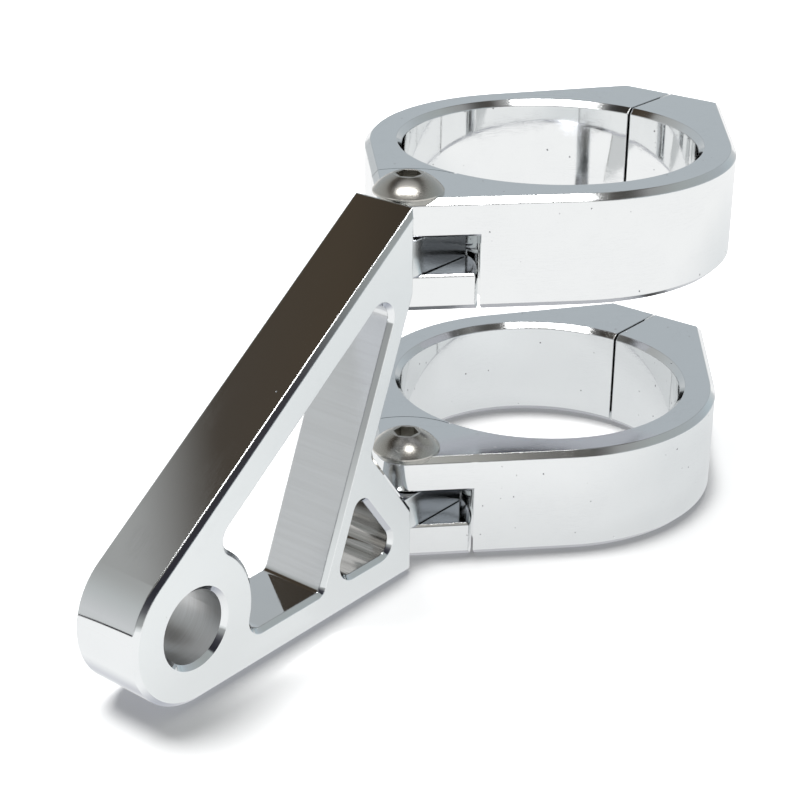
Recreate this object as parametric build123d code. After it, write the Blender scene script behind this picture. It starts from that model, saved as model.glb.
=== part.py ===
from build123d import *
import math
import os

# Headlight bracket for one fork leg, milled from billet and chrome plated.
# A windowed arm carries the lamp at its front eye. Two split clamps hang on its back end,
# each on an upright pivot screw, and close round the fork tube with a screw across the lug.
# Frame: Z is the fork axis, Z = 0 is mid-height of the lower clamp, and the arm points along -X.

# Fork clamps
fork_d = 41.0
ring_wall = 5.2
clamp_height = 15.0
clamp_spacing = 36.0
clamp_chamfer = 0.8
split_gap = 0.4
lug_length = 7.1
lug_width = 16.4

# Hinge between the arm and each clamp
pivot_wall = 10.7
knuckle_tip_r = 4.0
knuckle_thickness = 5.0
knuckle_chamfer = 0.3
notch_wall = 1.0
front_knuckle_gap = 0.12
rear_knuckle_gap = 0.6
tongue_width = 7.2
tongue_end_gap = 1.3
tongue_face_gap = 0.1
tongue_root = 2.0
tongue_fillet = 0.6
running_clearance = 0.05

# Arm
arm_thickness = 10.3
arm_back_gap = 0.8
arm_chamfer = 0.6
lamp_reach = 45.0
boss_r = 9.8
lamp_hole_d = 9.4
relief_depth = 8.1
relief_rise = 5.2
relief_top_drop = 1.3
relief_bottom_drop = 0.7
relief_fillet = 1.0
window_top_rail = 4.8
window_bottom_rail = 4.6
window_back_rail = 3.5
window_strut = 2.9
window_heel_rail = 4.9
window_top_r = 1.9
window_bottom_r = 1.0
window_front_r = 1.8
small_window_r = 2.0
small_window_top_r = 1.1
window_chamfer = 0.6

# Pivot screws, M5 button heads with a hexagon socket
pivot_screw_d = 5.0
pivot_head_d = 9.2
pivot_head_h = 2.3
pivot_head_rim = 0.25
pivot_crown_d = 3.9
pivot_socket = 3.0
pivot_socket_depth = 1.6
pivot_screw_stop = 0.6

# Closing screws, M5 socket heads sunk in the rear flank of the lug
closing_screw_d = 5.0
closing_screw_wall = 6.3
closing_seat = 4.0
closing_grip = 8.0
closing_head_d = 8.5
closing_head_h = 5.0
closing_head_chamfer = 0.5
closing_head_gap = 0.3
closing_socket = 4.0
closing_socket_depth = 2.5
screw_point_chamfer = 0.5
screw_hole_clearance = 0.25
thread_clearance = 0.05
thread_runout = 1.5

# Places worked out from the sizes above
fork_r = fork_d / 2
ring_r = fork_r + ring_wall
lug_end = ring_r + lug_length
clamp_top = clamp_height / 2
clamp_levels = {"lower": 0.0, "upper": clamp_spacing}
pivot_x = -fork_r - pivot_wall
closing_x = fork_r + closing_screw_wall
notch_r = pivot_wall - notch_wall
knuckle_z = clamp_top - knuckle_thickness
tongue_end_r = notch_r - tongue_end_gap
tongue_z = knuckle_z - tongue_face_gap
arm_back = pivot_x - knuckle_tip_r - arm_back_gap
arm_bottom = -clamp_top
arm_top = clamp_spacing + clamp_top
lamp_x = pivot_x - lamp_reach
lamp_z = arm_bottom + boss_r
relief_top = (arm_back, clamp_spacing - tongue_z - relief_top_drop)
relief_apex = (arm_back - relief_depth, clamp_top + relief_rise)
relief_bottom = (arm_back, tongue_z - relief_bottom_drop)
tiny = 1e-4


def offset_line(start, end, distance):
    """Line from start to end, moved to its right by distance, as a point and a direction."""
    run = (Vector(*end) - Vector(*start)).normalized()
    return Vector(*start) + Vector(run.Y, -run.X) * distance, run


def crossing(first, second):
    """Point where two lines meet, each given as a point and a direction."""
    p, u = first
    q, v = second
    gap = q - p
    point = p + u * ((gap.X * v.Y - gap.Y * v.X) / (u.X * v.Y - u.Y * v.X))
    return point.X, point.Y


def slope_foot():
    """Point where the sloped top edge leaves the round of the front eye."""
    run = Vector(arm_back - lamp_x, arm_top - lamp_z)
    slope = math.atan2(run.Y, run.X) - math.asin(boss_r / run.length)
    return lamp_x - boss_r * math.sin(slope), lamp_z + boss_r * math.cos(slope)


def arm_profile():
    """Side view of the arm plate: front eye, sloped top, and the relief in its back edge."""
    boss = Pos(lamp_x, lamp_z) * Circle(boss_r)
    back = Line((arm_back, arm_bottom), (arm_back, arm_top))
    relief = Polygon(relief_top, relief_apex, relief_bottom, align=None)
    apex = relief.vertices().sort_by(Axis.X)[0]
    return make_hull([*boss.edges(), back]) - fillet(apex, relief_fillet)


floor_line = offset_line((arm_back, arm_bottom), (lamp_x, arm_bottom), window_bottom_rail)
slope_line = offset_line(slope_foot(), (arm_back, arm_top), window_top_rail)
back_line = offset_line(relief_top, relief_apex, window_back_rail)
strut_line = offset_line(relief_top, relief_apex, window_back_rail - window_strut)
heel_line = offset_line(relief_apex, relief_bottom, window_heel_rail)


def round_corner(sketch, corner, radius):
    """Sketch with its corner nearest to a point rounded off."""
    return fillet(sketch.vertices().sort_by_distance(corner)[0], radius)


def big_window():
    """Triangular window, with its front corner cut back round the eye."""
    front = crossing(slope_line, floor_line)
    lower = crossing(floor_line, back_line)
    upper = crossing(back_line, slope_line)
    opening = Polygon(front, lower, upper, align=None) - Pos(lamp_x, lamp_z) * Circle(boss_r)
    opening = opening.faces().sort_by(Axis.X)[-1]
    cut_top, cut_bottom = opening.vertices().sort_by(Axis.X)[:2].sort_by(Axis.Y, reverse=True)
    for corner in (cut_top, upper):
        opening = round_corner(opening, corner, window_top_r)
    opening = round_corner(opening, cut_bottom, window_front_r)
    return round_corner(opening, lower, window_bottom_r)


def small_window():
    """Rounded triangle between the strut, the heel and the bottom rail."""
    lower = crossing(strut_line, floor_line)
    heel = crossing(floor_line, heel_line)
    upper = crossing(heel_line, strut_line)
    opening = Polygon(lower, heel, upper, align=None)
    for corner in (lower, heel):
        opening = round_corner(opening, corner, small_window_r)
    return round_corner(opening, upper, small_window_top_r)


def plate(profile):
    """Upright plate made from a side view, centred on the arm's middle plane."""
    return extrude(Plane.XZ * profile, arm_thickness / 2, both=True)


def flat_faces(solid):
    """Near and far faces of the arm plate."""
    upright = solid.faces().filter_by(Axis.Y).sort_by(Axis.Y)
    return upright[0], upright[-1]


def pivot_disc(radius, bottom, top):
    """Upright disc about the pivot axis."""
    return extrude(Pos(pivot_x, 0, bottom) * Circle(radius), top - bottom)


def pivot_hole(clearance, bottom, top):
    """Hole for a pivot screw, wider than the screw by clearance all round."""
    return pivot_disc(pivot_screw_d / 2 + clearance, bottom, top)


def tongue(level):
    """Flat tongue that reaches between the two knuckles of the clamp at level."""
    root = Pos(arm_back - tongue_root, 0, level - tongue_z)
    length = pivot_x + tongue_end_r - arm_back + tongue_root
    bar = root * Rectangle(length, tongue_width, align=(Align.MIN, Align.CENTER))
    return extrude(bar, 2 * tongue_z) & pivot_disc(tongue_end_r, level - tongue_z, level + tongue_z)


def arm():
    """Whole arm: chamfered plate with two windows and a lamp hole, and two bored tongues."""
    body = plate(arm_profile()) - plate(big_window()) - plate(small_window())
    window_rims = [e for face in flat_faces(body) for w in face.inner_wires() for e in w.edges()]
    body = chamfer(window_rims, window_chamfer)
    outer_rims = [e for face in flat_faces(body) for e in face.outer_wire().edges()]
    body = chamfer(outer_rims, arm_chamfer)
    body -= plate(Pos(lamp_x, lamp_z) * Circle(lamp_hole_d / 2))
    rims = body.edges().filter_by(GeomType.CIRCLE)
    body = chamfer([e for e in rims if abs(e.radius - lamp_hole_d / 2) < tiny], arm_chamfer)
    for level in clamp_levels.values():
        body += tongue(level)
    roots = body.edges().filter_by(Axis.Z).filter_by_position(Axis.X, arm_back - tiny, arm_back + tiny)
    roots = [e for e in roots if abs(abs(e.center().Y) - tongue_width / 2) < tiny]
    body = fillet(roots, tongue_fillet)
    return body - pivot_hole(running_clearance, arm_bottom, arm_top)


def clamp_blank():
    """Unsplit clamp, chamfered all round: ring, knuckle tip and lug joined by tangents."""
    tip = Pos(pivot_x, 0) * Circle(knuckle_tip_r)
    lug = Line((lug_end, -lug_width / 2), (lug_end, lug_width / 2))
    plan = make_hull([*Circle(ring_r).edges(), *tip.edges(), lug])
    body = extrude(plan - Circle(fork_r), clamp_top, both=True)
    return chamfer(body.faces().filter_by(Axis.Z).edges(), clamp_chamfer)


def on_knuckle_rim(edge, knuckle_r):
    """True for an outer edge of a knuckle's inner face, and not for the notch wall behind it."""
    reach = (edge.center() - Vector(pivot_x, 0, edge.center().Z)).length
    on_notch = edge.geom_type == GeomType.CIRCLE and abs(edge.radius - notch_r) < tiny
    return reach < knuckle_r + tiny and not on_notch


def clamp_half(knuckle_gap):
    """Near half of a clamp, with its knuckle at the top, clear of the other half's notch by the gap."""
    blank = clamp_blank()
    knuckle_r = notch_r - knuckle_gap
    side = Box(4 * lug_end, 2 * lug_end, clamp_height, align=(Align.CENTER, Align.MAX, Align.CENTER))
    body = (blank & Pos(0, -split_gap / 2, 0) * side) - pivot_disc(notch_r, -clamp_top, knuckle_z)
    half = body + (blank & pivot_disc(knuckle_r, knuckle_z, clamp_top))
    rim = half.edges().filter_by_position(Axis.Z, knuckle_z - tiny, knuckle_z + tiny)
    return chamfer([e for e in rim if on_knuckle_rim(e, knuckle_r)], knuckle_chamfer)


def closing_bore(radius, start, end):
    """Round cut across the split, from start to end along Y."""
    return extrude(Plane.XZ.offset(-start) * Pos(closing_x, 0) * Circle(radius), start - end)


def clamp_front():
    """Near half: plain hole in its top knuckle, threaded hole in its lug."""
    half = clamp_half(front_knuckle_gap) - pivot_hole(screw_hole_clearance, -clamp_top, clamp_top)
    return half - closing_bore(closing_screw_d / 2 + thread_clearance, 0, -closing_grip - thread_runout)


def clamp_rear():
    """Far half, turned over: threaded hole in its bottom knuckle, counterbored hole in its lug."""
    half = Rot(180, 0, 0) * clamp_half(rear_knuckle_gap)
    half -= pivot_hole(thread_clearance, -clamp_top, clamp_top)
    half -= closing_bore(closing_screw_d / 2 + screw_hole_clearance, 0, ring_r)
    return half - closing_bore(closing_head_d / 2 + closing_head_gap, closing_seat, ring_r)


def screw_shank(diameter, length):
    """Shank hanging from Z = 0, with a chamfered point."""
    shank = extrude(Circle(diameter / 2), -length)
    return chamfer(shank.edges().sort_by(Axis.Z)[0], screw_point_chamfer)


def hexagon(across_flats, top, depth):
    """Hexagon socket sunk from top."""
    return extrude(Pos(0, 0, top) * RegularPolygon(across_flats / 2, 6, major_radius=False), -depth)


def ball_arc(start, end):
    """Arc of a ball's outline between two points of a half section, with its centre on the axis."""
    middle = Vector(0, (end.dot(end) - start.dot(start)) / (end.Y - start.Y) / 2)
    way = (start - middle).normalized() + (end - middle).normalized()
    return ThreePointArc(start, middle + way.normalized() * (start - middle).length, end)


def pivot_screw():
    """Button-head screw standing in a clamp: its head seats on the top knuckle."""
    rim = Vector(pivot_head_d / 2, pivot_head_rim)
    crown = Vector(pivot_crown_d / 2, pivot_head_h)
    outline = Polyline(crown, (0, pivot_head_h), (0, 0), (pivot_head_d / 2, 0), rim)
    head = revolve(Plane.XZ * make_face([*outline.edges(), ball_arc(rim, crown)]), Axis.Z)
    screw = head + screw_shank(pivot_screw_d, clamp_height - pivot_screw_stop)
    screw -= hexagon(pivot_socket, pivot_head_h, pivot_socket_depth)
    return Pos(pivot_x, 0, clamp_top) * screw


def closing_screw():
    """Socket-head screw lying across the lug: its head seats in the rear counterbore."""
    head = extrude(Circle(closing_head_d / 2), closing_head_h)
    head = chamfer(head.edges().sort_by(Axis.Z)[-1], closing_head_chamfer)
    screw = head + screw_shank(closing_screw_d, closing_seat + closing_grip)
    screw -= hexagon(closing_socket, closing_head_h, closing_socket_depth)
    return Pos(closing_x, closing_seat, 0) * Rot(-90, 0, 0) * screw


pieces = {"arm": arm()}
clamp_pieces = {
    "clamp_front": clamp_front(),
    "clamp_rear": clamp_rear(),
    "pivot_screw": pivot_screw(),
    "closing_screw": closing_screw(),
}
for level_name, level in clamp_levels.items():
    for name, piece in clamp_pieces.items():
        pieces[f"{level_name}_{name}"] = Pos(0, 0, level) * piece

os.makedirs("parts", exist_ok=True)
for name, piece in pieces.items():
    export_step(piece, f"parts/{name}.step")
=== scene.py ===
import bpy
from mathutils import Matrix, Vector


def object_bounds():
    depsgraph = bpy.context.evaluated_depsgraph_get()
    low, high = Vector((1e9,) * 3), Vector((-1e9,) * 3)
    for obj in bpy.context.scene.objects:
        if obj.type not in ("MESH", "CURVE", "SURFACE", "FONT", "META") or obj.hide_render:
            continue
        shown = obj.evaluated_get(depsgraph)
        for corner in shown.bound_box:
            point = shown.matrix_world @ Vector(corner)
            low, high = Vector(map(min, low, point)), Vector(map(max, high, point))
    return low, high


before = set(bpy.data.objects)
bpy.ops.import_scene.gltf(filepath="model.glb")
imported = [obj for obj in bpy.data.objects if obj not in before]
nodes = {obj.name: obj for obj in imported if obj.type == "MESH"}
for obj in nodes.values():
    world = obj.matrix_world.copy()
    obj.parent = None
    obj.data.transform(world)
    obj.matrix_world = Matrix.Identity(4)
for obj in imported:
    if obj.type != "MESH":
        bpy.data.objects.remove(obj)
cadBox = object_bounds()
print("frame loaded:", ", ".join(sorted(nodes)))


def setSocket(tree, socket, value):
    if isinstance(value, bpy.types.NodeSocket):
        tree.links.new(value, socket)
    elif value is not None:
        socket.default_value = value


def addNode(tree, kind, settings=None, sockets=None):
    node = tree.nodes.new(kind)
    for key, value in (settings or {}).items():
        setattr(node, key, value)
    for key, value in (sockets or {}).items():
        setSocket(tree, node.inputs[key], value)
    return node


def calc(tree, operation, first, second=None, clamp=False):
    node = addNode(tree, "ShaderNodeMath", {"operation": operation, "use_clamp": clamp})
    setSocket(tree, node.inputs[0], first)
    setSocket(tree, node.inputs[1], second)
    return node.outputs[0]


def vectorCalc(tree, operation, first, second=None):
    node = addNode(tree, "ShaderNodeVectorMath", {"operation": operation}, {0: first, 1: second})
    single = operation in ("DOT_PRODUCT", "LENGTH", "DISTANCE")
    return node.outputs["Value" if single else "Vector"]


def axisPart(tree, vector, axis):
    return addNode(tree, "ShaderNodeSeparateXYZ", None, {0: vector}).outputs[axis]


def fade(tree, value, low, high, lowOut=0.0, highOut=1.0):
    node = addNode(tree, "ShaderNodeMapRange", {"interpolation_type": "SMOOTHSTEP"})
    for key, setting in {"Value": value, "From Min": low, "From Max": high,
                         "To Min": lowOut, "To Max": highOut}.items():
        setSocket(tree, node.inputs[key], setting)
    return node.outputs[0]


def mixColour(tree, share, first, second):
    node = addNode(tree, "ShaderNodeMix", {"data_type": "RGBA"})
    setSocket(tree, node.inputs["Factor"], share)
    colours = [s for s in node.inputs if s.type == "RGBA"]
    setSocket(tree, colours[0], first)
    setSocket(tree, colours[1], second)
    return [s for s in node.outputs if s.type == "RGBA"][0]


def newGroup(name, inputs, outputs):
    group = bpy.data.node_groups.new(name, "ShaderNodeTree")
    for label, (kind, value) in inputs.items():
        socket = group.interface.new_socket(label, in_out="INPUT", socket_type=kind)
        if value is not None:
            socket.default_value = value
    for label, kind in outputs.items():
        group.interface.new_socket(label, in_out="OUTPUT", socket_type=kind)
    return group, group.nodes.new("NodeGroupInput").outputs, group.nodes.new("NodeGroupOutput").inputs


floatSocket = "NodeSocketFloat"
vectorSocket = "NodeSocketVector"


pitShape = {"smallest": 0.35, "core": 0.4}  # least share of the given size, and the share at full depth


def makePits():  # sparse pinholes left in the plating
    group, given, out = newGroup(
        "platingPits",
        {"Vector": (vectorSocket, None), "Spacing": (floatSocket, 3.0), "Size": (floatSocket, 0.1),
         "Share": (floatSocket, 0.2)},
        {"Mask": floatSocket})
    cells = addNode(group, "ShaderNodeTexVoronoi", None, {
        "Vector": given["Vector"], "Scale": calc(group, "DIVIDE", 1.0, given["Spacing"]), "Randomness": 1.0})
    reach = calc(group, "MULTIPLY", cells.outputs["Distance"], given["Spacing"])
    pick = addNode(group, "ShaderNodeSeparateColor", None, {"Color": cells.outputs["Color"]})
    spread = calc(group, "ADD", pick.outputs["Green"], pitShape["smallest"])
    size = calc(group, "MULTIPLY", given["Size"], spread)
    dot = fade(group, reach, calc(group, "MULTIPLY", size, pitShape["core"]), size, 1.0, 0.0)
    chosen = calc(group, "LESS_THAN", pick.outputs["Red"], given["Share"])
    group.links.new(calc(group, "MULTIPLY", dot, chosen), out["Mask"])
    return group


strokeShape = {
    "detail": 4.0, "roughness": 0.65,
    "cloudScale": 0.16, "cloudDetail": 3.0, "cloudStart": 0.42, "cloudFull": 0.62,  # where the lines gather
}


def makeStrokes():  # hair lines left by polishing, drawn out along one direction
    group, given, out = newGroup(
        "polishStrokes",
        {"Vector": (vectorSocket, None), "Stretch": (vectorSocket, (1.0, 1.0, 1.0)),
         "Fineness": (floatSocket, 4.0), "Sharpness": (floatSocket, 0.12)},
        {"Mask": floatSocket, "Haze": floatSocket})
    lines = addNode(group, "ShaderNodeTexNoise", None, {
        "Vector": vectorCalc(group, "MULTIPLY", given["Vector"], given["Stretch"]), "Scale": given["Fineness"],
        "Detail": strokeShape["detail"], "Roughness": strokeShape["roughness"]})
    cloud = addNode(group, "ShaderNodeTexNoise", None, {
        "Vector": given["Vector"], "Scale": strokeShape["cloudScale"], "Detail": strokeShape["cloudDetail"]})
    ridge = calc(group, "ABSOLUTE", calc(group, "SUBTRACT", lines.outputs["Fac"], 0.5))
    hair = fade(group, ridge, 0.0, given["Sharpness"], 1.0, 0.0)
    gathered = fade(group, cloud.outputs["Fac"], strokeShape["cloudStart"], strokeShape["cloudFull"])
    group.links.new(calc(group, "MULTIPLY", hair, gathered), out["Mask"])
    group.links.new(cloud.outputs["Fac"], out["Haze"])
    return group


def makeEdges():  # softened arris: a rounded normal, and a mask along the edge, where the finishes paint a highlight on the arm and screws and a dark line on the clamps
    group, given, out = newGroup(
        "softArris", {"Radius": (floatSocket, 0.00012), "Reach": (floatSocket, 0.25)},
        {"Normal": vectorSocket, "Mask": floatSocket})
    bevel = addNode(group, "ShaderNodeBevel", {"samples": 6}, {"Radius": given["Radius"]})
    face = addNode(group, "ShaderNodeNewGeometry")
    facing = vectorCalc(group, "DOT_PRODUCT", bevel.outputs["Normal"], face.outputs["Normal"])
    group.links.new(bevel.outputs["Normal"], out["Normal"])
    turned = calc(group, "SUBTRACT", 1.0, facing)
    group.links.new(fade(group, turned, 0.0, given["Reach"]), out["Mask"])
    return group


# Leans toward the axis: from square on, and within a band either side of a chamfer's
faceLean = {"flatStart": 0.9, "flatFull": 0.97, "chamfer": 0.707, "chamferFull": 0.06, "chamferEnd": 0.12}


def makeFaces():  # tells flat faces that square up to one axis, and chamfers, from the rest
    group, given, out = newGroup(
        "faceFinder", {"Normal": (vectorSocket, None), "Axis": (vectorSocket, (0.0, 1.0, 0.0))},
        {"Flat": floatSocket, "Slant": floatSocket})
    lean = calc(group, "ABSOLUTE", vectorCalc(group, "DOT_PRODUCT", given["Normal"], given["Axis"]))
    group.links.new(fade(group, lean, faceLean["flatStart"], faceLean["flatFull"]), out["Flat"])
    off = calc(group, "ABSOLUTE", calc(group, "SUBTRACT", lean, faceLean["chamfer"]))
    slant = fade(group, off, faceLean["chamferFull"], faceLean["chamferEnd"], 1.0, 0.0)
    group.links.new(slant, out["Slant"])
    return group


cutterShape = {"detail": 5.0, "roughness": 0.7, "shadeDark": 0.35, "shadeLight": 0.65}


def makeCutter():  # lines left by a cutter, running the way it was fed
    group, given, out = newGroup(
        "cutterLines",
        {"Vector": (vectorSocket, None), "Stretch": (vectorSocket, (1.0, 1.0, 1.0)),
         "Fineness": (floatSocket, 1.0)},
        {"Height": floatSocket, "Shade": floatSocket})
    lines = addNode(group, "ShaderNodeTexNoise", None, {
        "Vector": vectorCalc(group, "MULTIPLY", given["Vector"], given["Stretch"]), "Scale": given["Fineness"],
        "Detail": cutterShape["detail"], "Roughness": cutterShape["roughness"]})
    group.links.new(lines.outputs["Fac"], out["Height"])
    shade = fade(group, lines.outputs["Fac"], cutterShape["shadeDark"], cutterShape["shadeLight"])
    group.links.new(shade, out["Shade"])
    return group


groups = {"pits": makePits(), "strokes": makeStrokes(), "edges": makeEdges(), "faces": makeFaces(),
          "cutter": makeCutter()}
print("shared effects built:", len(groups))


def useGroup(tree, key, sockets):
    node = addNode(tree, "ShaderNodeGroup", {"node_tree": groups[key]}, sockets)
    return node.outputs


def withinPlanes(tree, vector, planes, margin):  # 1 where every outer plane is further off than the margin
    inside = 1.0
    for normal, reach in planes:
        along = vectorCalc(tree, "DOT_PRODUCT", vector, normal)
        clear = calc(tree, "LESS_THAN", along, reach - margin)
        inside = calc(tree, "MULTIPLY", inside, clear)
    return inside


def reachFromAxis(tree, vector, centre, across):  # distance from an axis through the centre
    offset = vectorCalc(tree, "SUBTRACT", vector, centre)
    return vectorCalc(tree, "LENGTH", vectorCalc(tree, "MULTIPLY", offset, across))


def withinRound(tree, vector, centre, radius):  # 1 closer than the radius to a crosswise axis
    return calc(tree, "LESS_THAN", reachFromAxis(tree, vector, centre, (1.0, 0.0, 1.0)), radius)


def outside(tree, mask):
    return calc(tree, "SUBTRACT", 1.0, mask)


def millWindows(tree, inMm, upward, tone, rough, lift, faces):
    cut = armMilling
    wall = calc(tree, "SUBTRACT", 1.0, calc(tree, "ADD", faces["Flat"], faces["Slant"]), True)
    inner = withinPlanes(tree, inMm, cut["outerPlanes"], cut["margin"])
    front = calc(tree, "LESS_THAN", axisPart(tree, inMm, "X"), cut["eye"][0])
    inner = calc(tree, "MULTIPLY", inner, outside(tree, front))
    bore = withinRound(tree, inMm, cut["eye"], cut["boreReach"])
    windows = calc(tree, "MULTIPLY", calc(tree, "MULTIPLY", wall, inner), outside(tree, bore))
    rail = fade(tree, upward, cut["railStart"], cut["railFull"], 1.0, 0.0)  # the bottom rail keeps its polish
    windows = calc(tree, "MULTIPLY", windows, rail)
    bore = calc(tree, "MULTIPLY", wall, bore)
    # Mask of the small window's walls, where painted shade goes
    shadedSmallWindow = calc(tree, "MULTIPLY", windows, withinRound(tree, inMm, cut["smallWindow"], cut["smallReach"]))
    shadedSmallWindow = calc(tree, "MULTIPLY", shadedSmallWindow, withinPlanes(tree, inMm, [cut["strutMiddle"]], 0.0))
    feed = useGroup(tree, "cutter", {
        "Vector": inMm, "Stretch": cut["windowStretch"], "Fineness": cut["windowFineness"]})
    turn = useGroup(tree, "cutter", {
        "Vector": inMm, "Stretch": cut["boreStretch"], "Fineness": cut["boreFineness"]})
    looks = ((windows, feed, cut["window"]), (shadedSmallWindow, feed, cut["shadedSmallWindow"]), (bore, turn, cut["bore"]))
    for mask, lines, look in looks:
        shade = mixColour(tree, lines["Shade"], look["dark"], look["light"])
        tone = mixColour(tree, calc(tree, "MULTIPLY", mask, look["tint"]), tone, shade)
        rough = fade(tree, mask, 0.0, 1.0, rough, look["rough"])
        height = calc(tree, "MULTIPLY", calc(tree, "MULTIPLY", mask, lines["Height"]), look["height"])
        lift = calc(tree, "ADD", lift, height)
    return tone, rough, lift


def edgeRadius(tree, inMm, look):  # edges stay sharp at a round seam
    if "seamAxis" not in look:
        return look["edgeRadius"]
    reach = reachFromAxis(tree, inMm, look["seamAxis"], look["seamAcross"])
    off = calc(tree, "ABSOLUTE", calc(tree, "SUBTRACT", reach, look["seamRadius"]))
    return calc(tree, "MULTIPLY", calc(tree, "GREATER_THAN", off, look["seamHalf"]), look["edgeRadius"])


metalShape = {
    "mmInMetre": 1000.0, "bumpDistance": 0.001,  # heights are in mm
    "grainDetail": 3.0, "grainRoughness": 0.7, "pitRough": 0.3,
}


def metalMaterial(name, look):
    material = bpy.data.materials.new(name)
    material.use_nodes = True
    tree = material.node_tree
    tree.nodes.clear()
    place = addNode(tree, "ShaderNodeTexCoord").outputs
    inMm = addNode(tree, "ShaderNodeVectorMath", {"operation": "SCALE"}, {
        0: place["Object"], "Scale": metalShape["mmInMetre"]}).outputs[0]
    pits = useGroup(tree, "pits", {
        "Vector": inMm, "Spacing": look["pitSpacing"], "Size": look["pitSize"], "Share": look["pitShare"]})
    strokes = useGroup(tree, "strokes", {
        "Vector": inMm, "Stretch": look["strokeStretch"], "Fineness": look["strokeFineness"],
        "Sharpness": look["strokeWidth"]})
    edges = useGroup(tree, "edges", {"Radius": edgeRadius(tree, inMm, look)})
    faces = useGroup(tree, "faces", {"Normal": place["Normal"], "Axis": look["satinAxis"]})
    grain = addNode(tree, "ShaderNodeTexNoise", None, {
        "Vector": inMm, "Scale": look["grainScale"], "Detail": metalShape["grainDetail"],
        "Roughness": metalShape["grainRoughness"]}).outputs["Fac"]
    satin = calc(tree, "MULTIPLY", faces["Flat"], look["satinTint"])
    hairs = calc(tree, "MULTIPLY", strokes["Mask"], look["strokeTint"])
    tone = mixColour(tree, strokes["Haze"], look["colour"], look["cloudColour"])
    tone = mixColour(tree, satin, tone, look["satinColour"])
    tone = mixColour(tree, hairs, tone, look["strokeColour"])
    tone = mixColour(tree, pits["Mask"], tone, look["pitColour"])
    upward = axisPart(tree, place["Normal"], "Z")
    if "paintedDownShadeTint" in look:  # painted shade: sides that face down are made darker
        paintedDownShade = fade(tree, upward, look["paintedDownShadeFull"], look["paintedDownShadeStart"], look["paintedDownShadeTint"], 0.0)
        tone = mixColour(tree, paintedDownShade, tone, look["paintedDownShadeColour"])
    # Painted light along the edges: a painted highlight on the arm and screws, a painted dark line on the
    # clamps
    tone = mixColour(tree, calc(tree, "MULTIPLY", edges["Mask"], look["paintedEdgeLightTint"]), tone, look["edgeColour"])
    rough = fade(tree, faces["Flat"], 0.0, 1.0, look["polish"], look["satin"])
    rough = calc(tree, "ADD", rough, calc(tree, "MULTIPLY", faces["Slant"], look["slantRough"]))
    rough = calc(tree, "ADD", rough, calc(tree, "MULTIPLY", strokes["Mask"], look["strokeRough"]))
    rough = calc(tree, "ADD", rough, calc(tree, "MULTIPLY", grain, look["grainRough"]))
    rough = calc(tree, "ADD", rough, calc(tree, "MULTIPLY", pits["Mask"], metalShape["pitRough"]), True)
    dents = calc(tree, "MULTIPLY", pits["Mask"], -look["pitDepth"])
    lift = calc(tree, "ADD", dents, calc(tree, "MULTIPLY", grain, look["grainHeight"]))
    lift = calc(tree, "ADD", lift, calc(tree, "MULTIPLY", strokes["Mask"], -look["strokeDepth"]))
    if look.get("milled"):
        tone, rough, lift = millWindows(tree, inMm, upward, tone, rough, lift, faces)
    bump = addNode(tree, "ShaderNodeBump", None, {
        "Strength": 1.0, "Distance": metalShape["bumpDistance"], "Height": lift, "Normal": edges["Normal"]})
    shader = addNode(tree, "ShaderNodeBsdfPrincipled", None, {
        "Base Color": tone, "Metallic": 1.0, "Roughness": rough, "Normal": bump.outputs["Normal"]})
    out = addNode(tree, "ShaderNodeOutputMaterial")
    tree.links.new(shader.outputs[0], out.inputs["Surface"])
    return material


# Faces of the arm's outer outline, in mm; what lies deeper was milled out
armMilling = {
    "outerPlanes": [((-0.586, 0.0, 0.81), 56.31), ((0.0, 0.0, -1.0), 7.5), ((1.0, 0.0, 0.0), -36.0)],
    "margin": 0.7, "eye": (-76.2, 0.0, 2.3), "boreReach": 4.9,
    "smallWindow": (-45.3, 0.0, 0.6), "smallReach": 8.0, "strutMiddle": ((-0.924, 0.0, 0.382), 47.6),
    "railStart": 0.6, "railFull": 0.9,
    "windowStretch": (1.0, 0.02, 1.0), "windowFineness": 1.4,
    "boreStretch": (0.05, 1.0, 0.05), "boreFineness": 3.0,
    "window": {"rough": 0.2, "tint": 0.6, "height": 0.0003,
               "dark": (0.76, 0.765, 0.77, 1), "light": (0.82, 0.83, 0.84, 1)},
    # The small window's walls are painted dark: painted shade in the narrow recess
    "shadedSmallWindow": {"rough": 0.16, "tint": 0.8, "height": 0.0006,
              "dark": (0.26, 0.245, 0.225, 1), "light": (0.5, 0.48, 0.45, 1)},
    "bore": {"rough": 0.36, "tint": 0.9, "height": 0.0002,
             "dark": (0.6, 0.6, 0.595, 1), "light": (0.65, 0.655, 0.66, 1)},
}
armFinish = {
    "nodes": ["arm"], "slot": "chrome", "milled": True,
    "colour": (0.89, 0.905, 0.91, 1), "cloudColour": (0.87, 0.885, 0.895, 1),
    "satinColour": (0.85, 0.875, 0.88, 1), "satinTint": 0.9, "satinAxis": (0.0, 1.0, 0.0),
    "polish": 0.03, "satin": 0.16, "slantRough": 0.0,
    "pitSpacing": 3.0, "pitSize": 0.1, "pitShare": 0.2, "pitDepth": 0.05, "pitColour": (0.4, 0.4, 0.41, 1),
    "strokeStretch": (0.12, 2.0, 0.12), "strokeFineness": 2.2, "strokeWidth": 0.05,
    "strokeTint": 0.06, "strokeColour": (0.7, 0.71, 0.72, 1), "strokeRough": 0.02, "strokeDepth": 0.00015,
    "grainScale": 9.0, "grainRough": 0.02, "grainHeight": 0.0002,
    # Painted highlight along the arm's edges
    "edgeRadius": 0.00022, "paintedEdgeLightTint": 0.35, "edgeColour": (0.97, 0.97, 0.96, 1),
    "seamAxis": (-76.2, 0.0, 2.3), "seamAcross": (1.0, 0.0, 1.0), "seamRadius": 5.0, "seamHalf": 0.7,
    # Painted shade on the arm's downward sides, such as the eye's underside
    "paintedDownShadeTint": 0.95, "paintedDownShadeColour": (0.46, 0.48, 0.54, 1), "paintedDownShadeStart": -0.24, "paintedDownShadeFull": -0.55,
}
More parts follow.
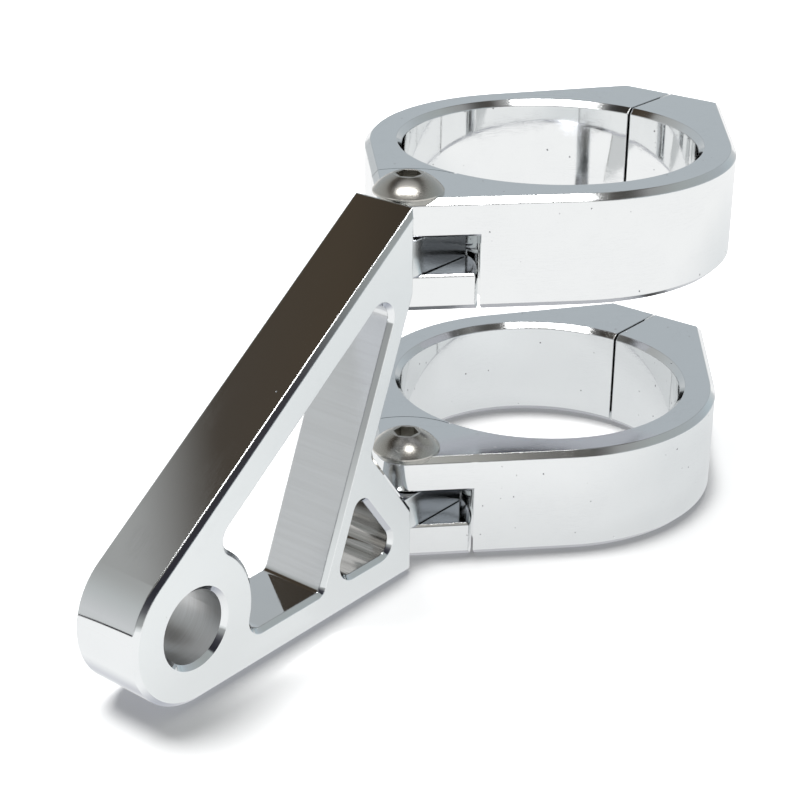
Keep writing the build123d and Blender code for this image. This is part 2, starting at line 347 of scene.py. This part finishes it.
clampFinish = {
    "nodes": [level + half for level in ("lower_", "upper_") for half in ("clamp_front", "clamp_rear")],
    "slot": "chrome",
    "colour": (0.9, 0.91, 0.91, 1), "cloudColour": (0.875, 0.885, 0.89, 1),
    "satinColour": (0.86, 0.885, 0.905, 1), "satinTint": 0.7, "satinAxis": (0.0, 0.0, 1.0),
    "polish": 0.03, "satin": 0.07, "slantRough": 0.06,
    "pitSpacing": 1.5, "pitSize": 0.14, "pitShare": 0.5, "pitDepth": 0.05, "pitColour": (0.4, 0.4, 0.41, 1),
    "strokeStretch": (0.15, 0.15, 2.4), "strokeFineness": 2.0, "strokeWidth": 0.05,
    "strokeTint": 0.1, "strokeColour": (0.7, 0.71, 0.72, 1), "strokeRough": 0.04, "strokeDepth": 0.0004,
    "grainScale": 9.0, "grainRough": 0.02, "grainHeight": 0.0002,
    # Painted dark line along the clamps' edges, standing in for shade and dark reflections there
    "edgeRadius": 0.00022, "paintedEdgeLightTint": 0.7, "edgeColour": (0.3, 0.3, 0.33, 1),
    "seamAxis": (-31.2, 0.0, 0.0), "seamAcross": (1.0, 1.0, 0.0), "seamRadius": 9.64, "seamHalf": 0.4,
    # Painted shade on the clamps' downward sides and bottom chamfers
    "paintedDownShadeTint": 0.8, "paintedDownShadeColour": (0.42, 0.42, 0.46, 1), "paintedDownShadeStart": -0.4, "paintedDownShadeFull": -0.6,
}
screwFinish = {
    "nodes": [level + kind for level in ("lower_", "upper_") for kind in ("pivot_screw", "closing_screw")],
    "slot": "stainless",
    "colour": (0.62, 0.6, 0.56, 1), "cloudColour": (0.56, 0.54, 0.5, 1),
    "satinColour": (0.58, 0.565, 0.53, 1), "satinTint": 0.5, "satinAxis": (0.0, 0.0, 1.0),
    "polish": 0.2, "satin": 0.26, "slantRough": 0.02,
    "pitSpacing": 1.6, "pitSize": 0.08, "pitShare": 0.25, "pitDepth": 0.03,
    "pitColour": (0.25, 0.24, 0.22, 1),
    "strokeStretch": (0.6, 0.6, 6.0), "strokeFineness": 2.5, "strokeWidth": 0.07,
    "strokeTint": 0.2, "strokeColour": (0.45, 0.43, 0.4, 1), "strokeRough": 0.06, "strokeDepth": 0.0006,
    "grainScale": 14.0, "grainRough": 0.05, "grainHeight": 0.0005,
    # Painted highlight along the screws' edges
    "edgeRadius": 0.00015, "paintedEdgeLightTint": 0.3, "edgeColour": (0.8, 0.78, 0.74, 1),
}


def dress(name, look):
    material = metalMaterial(name, look)
    for node in look["nodes"]:
        piece = nodes[node]
        piece.data.materials.clear()
        piece.data.materials.append(material)
    print("finish", name, "on", len(look["nodes"]), "nodes")


dress("polishedArm", armFinish)
dress("polishedClamp", clampFinish)
dress("rolledStainless", screwFinish)

floorLook = {
    "half": 3.0, "colour": (0.84, 0.84, 0.84, 1), "drop": 0.0004,
    # Glow for the camera: less where the metal stands close, and less under the eye
    "glowNear": 0.1, "glowFar": 0.75, "glowEye": 0.14, "eyeFull": -0.082, "eyeStart": -0.06,
    "contactReach": 0.005, "contactDark": 0.45, "contactClear": 0.85,
    # How the metal sees the sheet: with its shadows close by, and plain white further off
    "mirrorColour": (0.77, 0.785, 0.79, 1),
    # Painted shade in the sheet as the metal sees it: darker and bluer near the clamps and to their right
    "mirrorPaintedShade": (0.82, 0.84, 0.85, 1), "mirrorFar": (0.975, 0.98, 0.98, 1),
    "reflectedShadeCentre": (0.06, 0.0, 0.0), "reflectedShadeStart": 0.055, "reflectedShadeFull": 0.125,
    "shadeCentre": (-0.02, 0.0, 0.0), "shadeStart": 0.05, "shadeFull": 0.1, "shadeShare": 0.85,
    # The sheet's far left edge, a dark line with the backdrop beyond it
    "edgeNormal": (0.556, 0.831, 0.0), "edgeReach": -0.0324, "edgeStart": -0.105,
    "edgeHalf": 0.0007, "edgeCore": 0.6, "edgeGrowth": 0.05, "edgeFrom": -0.135,
    "beyondColour": (0.62, 0.635, 0.64, 1), "edgeColour": (0.02, 0.02, 0.022, 1),
}


def makeFloor():
    look = floorLook
    half, level = look["half"], cadBox[0].z - look["drop"]
    mesh = bpy.data.meshes.new("floorSheet")
    corners = [(-half, -half, level), (half, -half, level), (half, half, level), (-half, half, level)]
    mesh.from_pydata(corners, [], [(0, 1, 2, 3)])
    floor = bpy.data.objects.new("floorSheet", mesh)
    bpy.context.scene.collection.objects.link(floor)
    material = bpy.data.materials.new("whiteSheet")
    material.use_nodes = True
    tree = material.node_tree
    tree.nodes.clear()
    path = addNode(tree, "ShaderNodeLightPath").outputs
    seen = calc(tree, "ADD", path["Is Camera Ray"], path["Is Transmission Ray"], True)
    paper = addNode(tree, "ShaderNodeBsdfDiffuse", None, {
        "Color": mixColour(tree, path["Is Glossy Ray"], look["colour"], look["mirrorColour"])})
    spot = addNode(tree, "ShaderNodeTexCoord").outputs["Object"]
    leftward = axisPart(tree, spot, "X")
    clear = addNode(tree, "ShaderNodeAmbientOcclusion", {"samples": 8}, {"Distance": look["contactReach"]})
    openGlow = fade(tree, leftward, look["eyeFull"], look["eyeStart"], look["glowEye"], look["glowFar"])
    bright = fade(tree, clear.outputs["AO"], look["contactDark"], look["contactClear"],
                  look["glowNear"], openGlow)
    glow = addNode(tree, "ShaderNodeEmission", None, {
        "Color": (1, 1, 1, 1), "Strength": calc(tree, "MULTIPLY", seen, bright)})
    both = addNode(tree, "ShaderNodeAddShader", None, {0: paper.outputs[0], 1: glow.outputs[0]})
    off = calc(tree, "SUBTRACT", vectorCalc(tree, "DOT_PRODUCT", spot, look["edgeNormal"]), look["edgeReach"])
    left = calc(tree, "LESS_THAN", leftward, look["edgeStart"])
    beyond = calc(tree, "MULTIPLY", calc(tree, "GREATER_THAN", off, 0.0), left)
    further = calc(tree, "MAXIMUM", calc(tree, "SUBTRACT", look["edgeFrom"], leftward), 0.0)
    lineHalf = calc(tree, "ADD", calc(tree, "MULTIPLY", further, look["edgeGrowth"]), look["edgeHalf"])
    lineCore = calc(tree, "MULTIPLY", lineHalf, look["edgeCore"])
    line = fade(tree, calc(tree, "ABSOLUTE", off), lineCore, lineHalf, 1.0, 0.0)
    line = calc(tree, "MULTIPLY", left, line)
    # Painted shade in the reflected sheet, fading out away from the clamps
    reflectedShadeReach = vectorCalc(tree, "DISTANCE", spot, look["reflectedShadeCentre"])
    reflectedShadeFade = fade(tree, reflectedShadeReach, look["reflectedShadeStart"], look["reflectedShadeFull"])
    sheet = mixColour(tree, reflectedShadeFade, look["mirrorPaintedShade"], look["mirrorFar"])
    sheet = mixColour(tree, beyond, sheet, look["beyondColour"])
    sheet = mixColour(tree, line, sheet, look["edgeColour"])
    mirrored = addNode(tree, "ShaderNodeEmission", None, {"Color": sheet, "Strength": 1.0})
    shadeReach = vectorCalc(tree, "DISTANCE", spot, look["shadeCentre"])
    share = fade(tree, shadeReach, look["shadeStart"], look["shadeFull"], look["shadeShare"], 1.0)
    share = calc(tree, "MAXIMUM", share, calc(tree, "MAXIMUM", beyond, line))
    share = calc(tree, "MULTIPLY", path["Is Glossy Ray"], share)
    mix = addNode(tree, "ShaderNodeMixShader", None, {0: share, 1: both.outputs[0], 2: mirrored.outputs[0]})
    out = addNode(tree, "ShaderNodeOutputMaterial")
    tree.links.new(mix.outputs[0], out.inputs["Surface"])
    mesh.materials.append(material)
    print("floor laid at", round(level, 5))


makeFloor()

# Height is the sine of the elevation, brought from -1..1 to 0..1 for the ramps
studioLook = {
    "backLeft": [(0.5, (0.63, 0.64, 0.65)), (0.7, (0.49, 0.51, 0.51)), (0.85, (0.36, 0.365, 0.36)),
                 (0.866, (0.065, 0.055, 0.045)), (0.89, (0.065, 0.05, 0.035)), (0.915, (0.03, 0.025, 0.02)),
                 (0.945, (0.03, 0.03, 0.03)), (0.965, (0.42, 0.43, 0.43)), (1.0, (0.5, 0.51, 0.51))],
    "backRight": [(0.5, (0.6, 0.62, 0.63)), (0.6, (0.46, 0.5, 0.525)), (0.72, (0.45, 0.485, 0.51)),
                  (0.85, (0.36, 0.365, 0.36)), (0.866, (0.065, 0.055, 0.045)), (0.89, (0.065, 0.05, 0.035)),
                  (0.915, (0.03, 0.025, 0.02)), (0.945, (0.03, 0.03, 0.03)), (0.965, (0.42, 0.43, 0.43)),
                  (1.0, (0.5, 0.51, 0.51))],
    "cameraSide": [(0.5, (0.86, 0.88, 0.88)), (0.52, (0.76, 0.78, 0.78)), (0.55, (0.38, 0.39, 0.39)),
                   (0.6, (0.3, 0.31, 0.31)), (0.66, (0.12, 0.12, 0.13)), (0.72, (0.05, 0.05, 0.06)),
                   (0.8, (0.026, 0.026, 0.034)), (0.84, (0.045, 0.043, 0.05)), (0.9, (0.2, 0.2, 0.19)),
                   (0.935, (0.4, 0.4, 0.37)), (1.0, (0.35, 0.35, 0.33))],
    "rightSide": [(0.5, (0.6, 0.65, 0.68)), (0.57, (0.47, 0.55, 0.59)), (0.66, (0.41, 0.45, 0.48)),
                  (0.83, (0.37, 0.4, 0.4)), (0.895, (0.305, 0.31, 0.31)), (0.91, (0.16, 0.16, 0.16)),
                  (0.925, (0.075, 0.075, 0.07)), (0.945, (0.07, 0.065, 0.06)), (0.965, (0.42, 0.43, 0.43)),
                  (1.0, (0.5, 0.51, 0.51))],
    "sideBlend": 0.2, "rightStart": -0.12, "rightFull": -0.02, "backStart": -0.2, "backFull": 0.5,
    "highStart": 0.9, "highFull": 0.935, "highLeft": -0.215, "highRight": -0.16,
}


def ramp(tree, share, stops):
    node = addNode(tree, "ShaderNodeValToRGB", None, {"Fac": share})
    points = node.color_ramp.elements
    while len(points) < len(stops):
        points.new(0.5)
    for point, (position, colour) in zip(points, stops):
        point.position = position
        point.color = (*colour, 1)
    return node.outputs["Color"]


def makeStudio():
    world = bpy.data.worlds.new("studio")
    bpy.context.scene.world = world
    world.use_nodes = True
    tree = world.node_tree
    tree.nodes.clear()
    way = addNode(tree, "ShaderNodeTexCoord").outputs["Generated"]
    parts = addNode(tree, "ShaderNodeSeparateXYZ", None, {0: way}).outputs
    height = calc(tree, "ADD", calc(tree, "MULTIPLY", parts["Z"], 0.5), 0.5)
    look = studioLook
    wallNames = ("backLeft", "backRight", "cameraSide", "rightSide")
    walls = {key: ramp(tree, height, look[key]) for key in wallNames}
    lowTurn = fade(tree, parts["X"], look["rightStart"], look["rightFull"])
    highTurn = fade(tree, parts["X"], look["highLeft"], look["highRight"])
    nearTurn = fade(tree, height, look["highStart"], look["highFull"], lowTurn, highTurn)
    backTurn = fade(tree, parts["X"], look["backStart"], look["backFull"])
    near = mixColour(tree, nearTurn, walls["cameraSide"], walls["rightSide"])
    back = mixColour(tree, backTurn, walls["backLeft"], walls["backRight"])
    blend = fade(tree, parts["Y"], -look["sideBlend"], look["sideBlend"])
    around = mixColour(tree, blend, near, back)
    sky = addNode(tree, "ShaderNodeBackground", None, {"Color": around, "Strength": 1.0})
    out = addNode(tree, "ShaderNodeOutputWorld")
    tree.links.new(sky.outputs[0], out.inputs["Surface"])
    print("studio built")


makeStudio()

keyLamp = {"toward": (-0.1, 0.42, 1.0), "strength": 3.2, "angle": 0.45}
overheadLamp = {"toward": (-0.235, -0.09, 0.968), "along": (0.575, -0.82, 0.0), "distance": 1.0,
                "length": 0.75, "width": 0.18, "watts": 3.6}


def makeLamps():
    key = bpy.data.lights.new("keyLamp", "SUN")
    key.energy, key.angle = keyLamp["strength"], keyLamp["angle"]
    overhead = bpy.data.lights.new("overheadLamp", "AREA")
    overhead.shape, overhead.energy = "RECTANGLE", overheadLamp["watts"]
    overhead.size, overhead.size_y = overheadLamp["length"], overheadLamp["width"]
    for lamp, look in ((key, keyLamp), (overhead, overheadLamp)):
        toward = Vector(look["toward"]).normalized()
        along = Vector(look.get("along", (1.0, 0.0, 0.0)))
        along = (along - toward * along.dot(toward)).normalized()
        turn = Matrix((along, toward.cross(along), toward)).transposed().to_4x4()
        holder = bpy.data.objects.new(lamp.name, lamp)
        holder.matrix_world = Matrix.Translation(toward * look.get("distance", 1.0)) @ turn
        bpy.context.scene.collection.objects.link(holder)
        holder.visible_diffuse = lamp is key  # the overhead lamp only glints in the metal
        holder.visible_glossy = lamp is not key  # and the key lamp only lights the sheet
    print("lamps hung")


makeLamps()

cameraLook = {
    "place": (-0.19873, -0.13452, 0.11199), "forward": (0.7077, 0.57287, -0.4135),
    "right": (0.6318, -0.7751, 0.00747), "lens": 79.69, "sensor": 36.0, "nearest": 0.01, "furthest": 50.0,
}


def makeCamera():
    data = bpy.data.cameras.new("photoCamera")
    data.lens, data.sensor_width = cameraLook["lens"], cameraLook["sensor"]
    data.clip_start, data.clip_end = cameraLook["nearest"], cameraLook["furthest"]
    camera = bpy.data.objects.new("photoCamera", data)
    forward = Vector(cameraLook["forward"]).normalized()
    right = Vector(cameraLook["right"])
    right = (right - forward * right.dot(forward)).normalized()
    turn = Matrix((right, right.cross(forward), -forward)).transposed().to_4x4()
    camera.matrix_world = Matrix.Translation(cameraLook["place"]) @ turn
    bpy.context.scene.collection.objects.link(camera)
    bpy.context.scene.camera = camera
    print("camera set")


makeCamera()
bpy.context.scene.view_settings.view_transform = "Standard"
